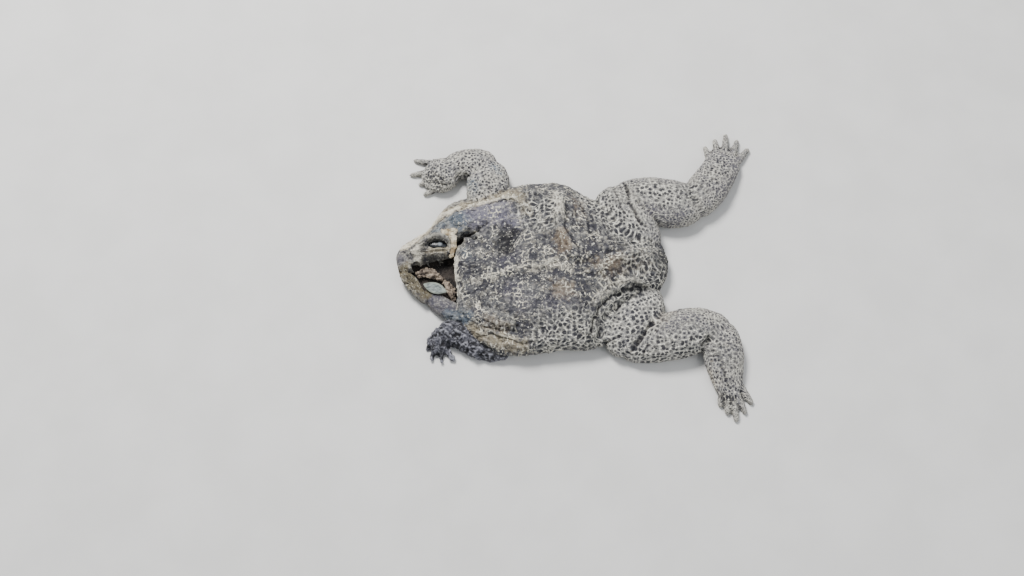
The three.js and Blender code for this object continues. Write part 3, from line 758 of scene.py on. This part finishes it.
def paint_skin(made, tree, owners):
    """Keeps what the hide's material needs: crests, painted shade for the creases and hollows, regions and
    painted patches.
    """
    mesh = made.data
    points, links, normals = get_points(mesh), get_links(mesh), get_normals(mesh)
    trunk, head, limbs, dried = home_shares(points, tree, owners, links)
    path = swayed(points)
    folds = fold_heights(points, path)
    bulge = ((points - blurred(points, links, BULGE_ROUNDS)) * normals).sum(1)
    save_layer(mesh, "crest", (bulge - 0.04) / 0.28)
    # Painted shade: how dark the hollows and deep folds get, where shade falls.
    save_layer(mesh, "crease_shade", (-bulge - 0.03) / 0.24 + np.clip(-folds / 1.5 - 0.1, 0, 1))
    save_layer(mesh, "limbs", limbs)
    save_layer(mesh, "head", head)
    save_layer(mesh, "dried", dried)
    for name, strokes in PAINT.items():
        cover = np.zeros(len(points))
        for radius, strength, stroke in strokes:
            near, gap = read_stroke(path, stroke, radius * 1.8)[:2]
            cover[near] = np.maximum(cover[near], strength * np.exp(-0.65 * (gap / radius) ** 2))
        save_layer(mesh, name, cover * (1 - dried))
    place = mesh.attributes.new("hide_place", "FLOAT_VECTOR", "POINT")
    place.data.foreach_set("vector", (unrolled(points, normals, links) * MM).astype(np.float32).ravel())


def make_skin():
    """The one skin that stands for all flesh nodes."""
    tree, owners = flesh_tree()
    made = fuse_flesh(tree)
    shape_skin(made, tree, owners)
    thin(made, SKIN_TRIANGLES / count_triangles(made.data))
    paint_skin(made, tree, owners)
    return finish_piece(made, hide_material(), FLESH_NODES)


def finish_piece(made, material, nodes):
    """Brings a piece in millimetres to metres, dresses it and sets it on the body."""
    made.data.transform(Matrix.Scale(MM, 4))
    made.data.materials.clear()
    made.data.materials.append(material)
    made.data.polygons.foreach_set("use_smooth", [True] * len(made.data.polygons))
    made.data.update()
    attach(made, "root")
    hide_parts(*nodes)
    return made


def make_refined(name, node, material, slot, voxel, rough, flat, extra):
    """A finer copy of a small CAD node, flattened if asked, with a worn, uneven surface."""
    form = gathered([node], 0.0)
    base = min(vert.co.z for vert in form.verts)
    for vert in form.verts:
        vert.co.z = base + (vert.co.z - base) * flat
    for centre, size in extra:
        add_lens(form, centre, size, 0)
    made = to_object(form, name)
    remesh(made, voxel)
    mesh = made.data
    points, links = get_points(mesh), get_links(mesh)
    top = np.clip(points[:, 2] / 0.4, 0, 1)
    points = relaxed(points, links, SMALL_ROUNDS, top)
    set_points(mesh, points)
    normals = get_normals(mesh)
    uneven = scatter(points, 0.55, lambda p: noise.fractal(p, 0.9, 2.1, 4))
    uneven -= 0.5 * np.abs(scatter(points, 1.3, noise.noise))
    points = points + normals * (uneven * rough * top)[:, None]
    points[:, 2] = np.maximum(points[:, 2], 0.0)
    set_points(mesh, points)
    return finish_piece(made, material, [node])


def make_small_pieces():
    """The jaw, the floor of the throat, whose near-black tone is painted shade in the mouth opening, and
    the loose bones.
    """
    finishes = {name: plain_dry_material(name, *looks) for name, looks in DRY_FINISHES.items()}
    for name, (node, finish, *rest) in SMALL_PIECES.items():
        make_refined(name, node, finishes[finish], *rest)


def make_right_eye():
    """The shrunken eyeball, dark, with a grey middle that is partly the eye's clouding and partly a painted
    highlight.
    """
    form = bmesh.new()
    add_lens(form, BALL_PLACE, BALL_SIZE, BALL_TURN, rings=20)
    return finish_piece(to_object(form, "right_eyeball"), eye_material(), ["right_eye"])


def make_left_eye():
    """The left eye, dried to a flat pointed lens with a pale rim."""
    form = bmesh.new()
    bmesh.ops.create_circle(form, cap_ends=True, segments=48, radius=1.0)
    for vert in form.verts:
        point_share = abs(vert.co.x)
        vert.co.y *= 1 - 0.55 * point_share**2.2
    cap = list(form.faces)
    for inset, lift in ((0.0, 0.5), (0.1, 0.16), (0.14, -0.12), (0.3, 0.22), (0.26, 0.14)):
        verts, cap = extruded(form, cap)
        bmesh.ops.scale(form, vec=(1 - inset, 1 - inset, 1), verts=verts)
        bmesh.ops.translate(form, vec=(0, 0, lift), verts=verts)
    bmesh.ops.recalc_face_normals(form, faces=form.faces)
    bmesh.ops.scale(form, vec=LENS_HALF_SIZE, verts=form.verts)
    tilt = Matrix.Rotation(math.radians(LENS_TILT), 3, "X")
    bmesh.ops.rotate(form, matrix=Matrix.Rotation(math.radians(LENS_TURN), 3, "Z") @ tilt, verts=form.verts)
    bmesh.ops.translate(form, vec=LENS_PLACE, verts=form.verts)
    made = to_object(form, "left_eye_lens")
    modifier = made.modifiers.new("round", "SUBSURF")
    modifier.levels = modifier.render_levels = 2
    apply_modifiers(made)
    return finish_piece(made, dull_eye_material(), ["left_eye"])


# Materials


class Board:
    """Adds nodes to one tree and joins them."""

    def __init__(self, tree):
        self.tree = tree

    def add(self, kind, sockets=None, **settings):
        """A new node; each socket named is given a value or another node's output."""
        made = self.tree.nodes.new("ShaderNode" + kind)
        for key, value in settings.items():
            setattr(made, key, value)
        for key, value in (sockets or {}).items():
            if isinstance(value, bpy.types.NodeSocket):
                self.join(value, made.inputs[key])
            else:
                made.inputs[key].default_value = value
        return made

    def join(self, output, socket):
        self.tree.links.new(output, socket)

    def group(self, tree, where, scale, **numbers):
        sockets = {"Where": where, "Per metre": scale, **numbers}
        return self.add("Group", sockets, node_tree=tree)

    def layer(self, name):
        """One of the numbers that the skin keeps for each vertex."""
        return self.add("Attribute", attribute_name=name).outputs["Fac"]

    def sum(self, kind, first, second):
        return self.add("Math", {0: first, 1: second}, operation=kind).outputs[0]

    def plus(self, first, second):
        return self.sum("ADD", first, second)

    def minus(self, first, second):
        return self.sum("SUBTRACT", first, second)

    def times(self, first, second):
        return self.sum("MULTIPLY", first, second)

    def rest(self, value):
        """What a share leaves of the whole."""
        return self.minus(1.0, value)

    def length(self, vector):
        return self.add("VectorMath", {0: vector}, operation="LENGTH").outputs["Value"]

    def ramp(self, value, low, high, floor=0.0, ceiling=1.0):
        """Maps low to high onto floor to ceiling, smoothly, and stops there."""
        sockets = {0: value, 1: low, 2: high, 3: floor, 4: ceiling}
        return self.add("MapRange", sockets, interpolation_type="SMOOTHSTEP").outputs[0]

    def mix(self, share, first, second):
        """A blend of two colours."""
        return self.add("Mix", {0: share, 6: first, 7: second}, data_type="RGBA").outputs[2]

    def noise(self, where, scale, detail=3.0, rough=0.55):
        sockets = {"Vector": where, "Scale": scale, "Detail": detail, "Roughness": rough}
        return self.add("TexNoise", sockets).outputs[0]

    def cells(self, where, scale, feature="F1", chance=1.0, plane="3D"):
        """Distances in cells in space, or in 2D on the laid-out skin."""
        sockets = {"Vector": where, "Scale": scale, "Randomness": chance}
        settings = {"feature": feature, "voronoi_dimensions": plane}
        return self.add("TexVoronoi", sockets, **settings).outputs["Distance"]


def shade(red, green, blue):
    """A colour given as it looks on screen, from 0 to 255, turned to the linear values nodes want."""
    return tuple((part / 255) ** 2.2 for part in (red, green, blue)) + (1.0,)


def new_group(name, numbers, outputs):
    """An empty group that takes a place and numbers: its board, and its given and wanted sockets."""
    tree = bpy.data.node_groups.new(name, "ShaderNodeTree")
    tree.interface.new_socket("Where", in_out="INPUT", socket_type="NodeSocketVector")
    for label in numbers:
        tree.interface.new_socket(label, in_out="INPUT", socket_type="NodeSocketFloat")
    for label in outputs:
        tree.interface.new_socket(label, in_out="OUTPUT", socket_type="NodeSocketFloat")
    board = Board(tree)
    return board, tree.nodes.new("NodeGroupInput").outputs, tree.nodes.new("NodeGroupOutput").inputs


def make_grain_group():
    """Tight round grains of dry skin: their height and the pale tips."""
    board, given, wanted = new_group("skin_grain", ["Per metre"], ["Height", "Tips"])
    where, scale = given["Where"], given["Per metre"]
    coarse = board.cells(where, scale)
    finer = board.cells(where, board.times(scale, 2.3))
    dust = board.noise(where, board.times(scale, 0.7), 4.0, 0.7)
    dome = board.ramp(coarse, 0.7, 0.05)
    small = board.ramp(finer, 0.6, 0.1)
    height = board.plus(board.times(dome, 0.6), board.times(small, 0.3))
    board.join(board.plus(height, board.times(dust, 0.5)), wanted["Height"])
    tips = board.times(board.ramp(finer, 0.34, 0.12), board.ramp(dust, 0.5, 0.66))
    board.join(tips, wanted["Tips"])
    return board.tree


def make_net_group():
    """A broken pale net that crusts the back: wandering lines round uneven cells."""
    board, given, wanted = new_group("crust_net", ["Per metre", "Cover"], ["Net"])
    where, scale = given["Where"], given["Per metre"]
    sway = board.add("TexNoise", {"Vector": where, "Scale": board.times(scale, 0.9)})
    push = {0: sway.outputs["Color"], "Scale": NET_SWAY}
    push = board.add("VectorMath", push, operation="SCALE")
    bent = board.add("VectorMath", {0: where, 1: push.outputs[0]}, operation="ADD")
    edge = board.cells(bent.outputs[0], scale, "DISTANCE_TO_EDGE", plane="2D")
    line = board.ramp(edge, 0.15, 0.05)
    patch = board.noise(where, board.times(scale, 0.33), 3.0, 0.6)
    threshold = board.minus(0.745, board.times(given["Cover"], 0.26))
    shown = board.ramp(board.minus(patch, threshold), -0.05, 0.09)
    crumbs = board.ramp(board.noise(where, board.times(scale, 2.0), 2.0), 0.4, 0.52)
    board.join(board.times(board.times(line, shown), crumbs), wanted["Net"])
    return board.tree


def make_spot_group():
    """Round dark spots of uneven size, with a broken pale net between them."""
    board, given, wanted = new_group("ringed_spots", ["Per metre", "Size"], ["Spot", "Ring"])
    where, scale = given["Where"], given["Per metre"]
    sockets = {"Vector": where, "Scale": scale, "Randomness": SPOT_CHANCE}
    cell = board.add("TexVoronoi", sockets, voronoi_dimensions="2D")
    lot = board.add("SeparateColor", {0: cell.outputs["Color"]})
    radius = board.times(given["Size"], board.ramp(lot.outputs[0], 0.0, 1.0, 0.6, 1.25))
    ragged = board.noise(where, board.times(scale, 2.2), 3.0)
    unevenness = board.times(board.minus(ragged, 0.5), 0.3)
    distance = board.plus(cell.outputs["Distance"], unevenness)
    spot = board.ramp(board.minus(radius, distance), -0.1, 0.1)
    edge = board.cells(where, scale, "DISTANCE_TO_EDGE", SPOT_CHANCE, "2D")
    line = board.ramp(board.plus(edge, unevenness), 0.2, 0.02)
    broken = board.ramp(board.noise(where, board.times(scale, 0.9), 3.0), 0.42, 0.58, 0.12, 1.0)
    board.join(spot, wanted["Spot"])
    board.join(board.times(board.times(line, broken), board.rest(spot)), wanted["Ring"])
    return board.tree


GRAIN = make_grain_group()
NET = make_net_group()
SPOTS = make_spot_group()


def new_material(name):
    """A material with its board, its shader and the object coordinates."""
    material = bpy.data.materials.new(name)
    material.use_nodes = True
    board = Board(material.node_tree)
    shader = material.node_tree.nodes["Principled BSDF"]
    where = board.add("TexCoord").outputs["Object"]
    return material, board, shader, where


def join_shader(board, shader, colour, rough, height, depth):
    """Feeds the shader its colour, roughness and bump."""
    board.join(colour, shader.inputs["Base Color"])
    board.join(rough, shader.inputs["Roughness"])
    bump = board.add("Bump", {"Height": height, "Strength": 1.0, "Distance": depth})
    board.join(bump.outputs[0], shader.inputs["Normal"])


def lay_base(board, limbs, head, broad, middle):
    """The hide's own tones on the trunk, limbs and head."""
    trunk = board.mix(board.ramp(broad, 0.36, 0.64), shade(52, 52, 59), shade(80, 80, 83))
    trunk = board.mix(board.ramp(middle, 0.5, 0.74), trunk, shade(116, 113, 105))
    limb = board.mix(board.ramp(broad, 0.38, 0.62), shade(114, 113, 115), shade(158, 155, 147))
    limb = board.mix(board.ramp(middle, 0.44, 0.7), limb, shade(86, 84, 90))
    face = board.mix(board.ramp(middle, 0.34, 0.62), shade(58, 57, 62), shade(146, 142, 132))
    return board.mix(head, board.mix(limbs, trunk, limb), face)


def lay_paint(board, colour, middle):
    """The painted patches with ragged edges: the new colour, and each patch's mask."""
    masks = {}
    ragged = board.times(board.minus(middle, 0.5), 1.7)
    for layer, (paint, strength) in PAINT_COLOURS.items():
        masks[layer] = board.ramp(board.plus(board.layer(layer), ragged), 0.2, 0.85, 0.0, strength)
        colour = board.mix(masks[layer], colour, shade(*paint))
    return colour, masks


def lay_net(board, colour, place, broad, bare, head, masks):
    """The crust net on the trunk and a finer one all over: the new colour, and the net's mask."""
    # The crust net thins out on the violet patches and on the painted shade.
    dark_paint_and_shade = board.sum("MAXIMUM", masks["violet"], masks["painted_shade"])
    cover = board.minus(board.ramp(broad, 0.32, 0.6, 0.5, 1.0), board.times(dark_paint_and_shade, 0.4))
    cover = board.plus(cover, board.layer("cream"))
    net = board.group(NET, place, NET_SCALE, Cover=cover)
    fine_net = board.group(NET, place, FINE_NET_SCALE, Cover=0.6)
    net_mask = board.times(net.outputs[0], bare)
    colour = board.mix(net_mask, colour, shade(248, 240, 217))
    fine = board.minus(board.minus(0.36, board.times(head, 0.16)), board.times(masks["olive"], 0.3))
    return board.mix(board.times(fine_net.outputs[0], fine), colour, shade(*PALE_CRUST)), net_mask


def lay_chips(board, colour, where, head):
    """Pale flecks where the crust has chipped."""
    fleck = board.ramp(board.noise(where, CHIP_SCALE, 2.0, 0.5), 0.62, 0.68, 0.0, 0.8)
    return board.mix(board.times(fleck, board.rest(board.times(head, 0.6))), colour, shade(214, 211, 198))


def lay_spots(board, colour, place, broad, middle, bare):
    """Ringed dark spots on the flank and thighs: the new colour, and where the spots are."""
    spots = board.group(SPOTS, place, SPOT_SCALE, Size=0.34)
    ragged = board.times(board.minus(broad, 0.5), 1.2)
    spread = board.plus(board.layer("spots"), board.times(bare, 0.1))
    region = board.ramp(board.plus(spread, ragged), 0.0, 0.75)
    ground = board.mix(board.ramp(middle, 0.35, 0.65), shade(90, 90, 92), shade(142, 141, 135))
    colour = board.mix(board.times(region, 0.45), colour, ground)
    ring = board.times(spots.outputs["Ring"], board.times(region, 0.78))
    colour = board.mix(ring, colour, shade(244, 240, 224))
    spot = board.times(spots.outputs["Spot"], board.times(region, 0.92))
    return board.mix(spot, colour, shade(42, 43, 49)), region


def lay_dots(board, colour, place, limbs, region, violet):
    """Small close dots on the limbs, outside the ringed spots."""
    dots = board.group(SPOTS, place, DOT_SCALE, Size=0.31)
    plain = board.times(limbs, board.rest(region))
    ring = board.times(dots.outputs["Ring"], board.times(plain, 0.7))
    colour = board.mix(ring, colour, shade(228, 223, 207))
    plain = board.times(plain, board.rest(violet))
    dot = board.times(dots.outputs["Spot"], board.times(plain, 0.95))
    return board.mix(dot, colour, shade(54, 54, 59))


def lay_wear_and_crease_shade(board, colour, where, tips, middle, olive):
    """Pale grain tips and crests, dark specks, and painted shade in the creases and hollows."""
    colour = board.mix(board.times(tips, 0.22), colour, shade(206, 203, 192))
    speck = board.noise(where, SPECK_SCALE, 3.0, 0.7)
    colour = board.mix(board.ramp(speck, 0.55, 0.7, 0.0, 0.5), colour, shade(44, 43, 50))
    crest = board.times(board.layer("crest"), board.ramp(middle, 0.3, 0.6, 0.08, 0.36))
    colour = board.mix(board.times(crest, board.rest(olive)), colour, shade(*PALE_CRUST))
    # Painted shade: near-black in the creases and hollows.
    return board.mix(board.times(board.layer("crease_shade"), 0.8), colour, shade(24, 23, 28))


def lay_scorch(board, colour, dried, middle):
    """The blackened hide of the dried arm, grey on its crests."""
    scorch = board.mix(board.ramp(middle, 0.4, 0.7), shade(24, 24, 28), shade(82, 82, 90))
    scorch = board.mix(board.times(board.layer("crest"), 0.7), scorch, shade(158, 158, 166))
    return board.mix(dried, colour, scorch)


def hide_material():
    """Dry toad hide: grains, the crust net, ringed spots, the painted patches, and painted shade in
    creases, hollows and gaps.
    """
    material, board, shader, where = new_material("skin_finish")
    limbs, head, dried = board.layer("limbs"), board.layer("head"), board.layer("dried")
    place = board.add("Attribute", attribute_name="hide_place").outputs["Vector"]
    grain = board.group(GRAIN, where, GRAIN_SCALE)
    broad = board.noise(where, BROAD_SCALE, 4.0, 0.6)
    middle = board.noise(where, MIDDLE_SCALE, 4.0, 0.62)
    bare = board.times(board.rest(limbs), board.rest(board.times(head, 0.7)))

    colour = lay_base(board, limbs, head, broad, middle)
    colour, masks = lay_paint(board, colour, middle)
    colour, net_mask = lay_net(board, colour, place, broad, bare, head, masks)
    colour = lay_chips(board, colour, where, head)
    colour, region = lay_spots(board, colour, place, broad, middle, bare)
    colour = lay_dots(board, colour, place, limbs, region, masks["violet"])
    colour = lay_wear_and_crease_shade(board, colour, where, grain.outputs["Tips"], middle, masks["olive"])
    colour = lay_scorch(board, colour, dried, middle)

    height = board.plus(grain.outputs["Height"], board.times(net_mask, 0.45))
    height = board.plus(height, board.times(middle, 0.7))
    rough = board.minus(board.ramp(middle, 0.3, 0.7, 0.78, 0.95), board.times(dried, 0.28))
    rough = board.minus(rough, board.times(masks["slate"], 0.2))
    join_shader(board, shader, colour, rough, height, 0.00045)
    shader.inputs["Specular IOR Level"].default_value = DRY_SHINE
    return material


def plain_dry_material(name, deep, pale, scale, depth, gloss=0.85, pits=0.5):
    """Bone, jaw skin and other small dry parts: two tones, stains and pits."""
    material, board, shader, where = new_material(name)
    broad = board.noise(where, scale * 0.3, 4.0, 0.6)
    fine = board.noise(where, scale * 1.6, 4.0, 0.65)
    grain = board.group(GRAIN, where, scale * 1.4)
    stain = shade(*[part * 0.5 for part in deep])
    colour = board.mix(board.ramp(broad, 0.36, 0.62), shade(*deep), shade(*pale))
    colour = board.mix(board.ramp(fine, 0.55, 0.75, 0.0, pits), colour, stain)
    colour = board.mix(board.times(grain.outputs["Tips"], 0.35), colour, shade(214, 206, 188))
    height = board.plus(grain.outputs["Height"], fine)
    rough = board.ramp(fine, 0.3, 0.7, gloss - 0.1, min(gloss + 0.1, 1.0))
    join_shader(board, shader, colour, rough, height, depth)
    shader.inputs["Specular IOR Level"].default_value = DRY_SHINE
    return material


def eye_material():
    """A dark wet-looking ball with a grey middle, partly clouding and partly a painted highlight."""
    material, board, shader, where = new_material("clouded_eye_painted_glint")
    centred = board.add("Mapping", {"Vector": where, "Location": (0.0584, -0.0108, -0.0092)})
    reach = board.length(centred.outputs[0])
    cloud = board.noise(where, 900.0, 4.0, 0.65)
    middle = board.ramp(board.plus(reach, board.times(cloud, 0.0012)), 0.0022, 0.0009)
    colour = board.mix(board.ramp(cloud, 0.4, 0.6), shade(12, 13, 16), shade(30, 33, 38))
    # The grey middle sits where the glint falls: partly the eye's clouding, partly a painted highlight.
    colour = board.mix(board.times(middle, 0.55), colour, shade(150, 157, 162))
    rough = board.ramp(cloud, 0.35, 0.65, 0.22, 0.5)
    join_shader(board, shader, colour, rough, cloud, 0.0001)
    return material


def dull_eye_material():
    """The flat left eye: blue-grey and streaked, with a paler rim."""
    material, board, shader, where = new_material("dried_lens")
    drawn = board.add("Mapping", {"Vector": where, "Scale": (1.0, 2.4, 1.0)})
    streak = board.noise(drawn.outputs[0], 520.0, 4.0, 0.65)
    fine = board.noise(where, 1900.0, 3.0, 0.6)
    colour = board.mix(board.ramp(streak, 0.38, 0.62), shade(66, 73, 74), shade(126, 134, 130))
    colour = board.mix(board.ramp(fine, 0.52, 0.72, 0.0, 0.6), colour, shade(44, 50, 50))
    spin = {"Location": (0.0528, 0.0316, 0.0), "Rotation": (0.0, 0.0, math.radians(-LENS_TURN))}
    centred = board.add("Mapping", {"Vector": where, **spin}).outputs[0]
    squeezed = board.add("VectorMath", {0: centred, 1: (1.0, 2.0, 0.0)}, operation="MULTIPLY")
    edge = board.plus(board.length(squeezed.outputs[0]), board.times(streak, 0.0014))
    colour = board.mix(board.ramp(edge, 0.0042, 0.0062, 0.0, 0.65), colour, shade(158, 164, 152))
    rough = board.ramp(streak, 0.3, 0.7, 0.5, 0.75)
    join_shader(board, shader, colour, rough, streak, 0.0002)
    return material


# The stage


def make_floor():
    """A plain pale floor."""
    form = bmesh.new()
    bmesh.ops.create_grid(form, x_segments=1, y_segments=1, size=1.6)
    bmesh.ops.translate(form, vec=(0, 0, -0.0001), verts=form.verts)
    floor = to_object(form, "floor")
    material, board, shader, where = new_material("pale_floor")
    haze = board.noise(where, 30.0, 3.0)
    colour = board.mix(board.ramp(haze, 0.3, 0.7), shade(206, 205, 202), shade(213, 212, 209))
    join_shader(board, shader, colour, board.ramp(haze, 0.3, 0.7, 0.85, 0.95), haze, 0.0001)
    floor.data.materials.append(material)


def make_light(name, place, size, power, warmth):
    """A round soft light that faces the toad."""
    lamp = bpy.data.lights.new(name, "AREA")
    lamp.shape = "DISK"
    lamp.size = size
    lamp.energy = power
    lamp.color = warmth
    made = new_object(name, lamp)
    made.location = place
    made.rotation_euler = (-Vector(place)).to_track_quat("-Z", "Y").to_euler()


def make_stage():
    """The floor, two lights and a pale sky."""
    make_floor()
    make_light("key", (-0.35, 0.55, 0.85), 0.4, 21.0, (1.0, 0.99, 0.98))
    make_light("fill", (0.7, -0.5, 0.7), 0.9, 5.0, (0.95, 0.97, 1.0))
    world = bpy.data.worlds.new("studio")
    world.use_nodes = True
    sky = world.node_tree.nodes["Background"]
    sky.inputs["Color"].default_value = (0.9, 0.94, 1.0, 1.0)
    sky.inputs["Strength"].default_value = 0.52
    bpy.context.scene.world = world


def make_camera():
    """The camera at the photo's viewing angle."""
    lens = bpy.data.cameras.new("camera")
    lens.lens = CAMERA_LENS
    lens.sensor_width = 36.0
    lens.clip_start = 0.01
    made = new_object("camera", lens)
    made.location = CAMERA_PLACE
    made.rotation_euler = (CAMERA_TILT, 0.0, 0.0)
    bpy.context.scene.camera = made


make_camera()
make_stage()
make_skin()
make_right_eye()
make_left_eye()
make_small_pieces()
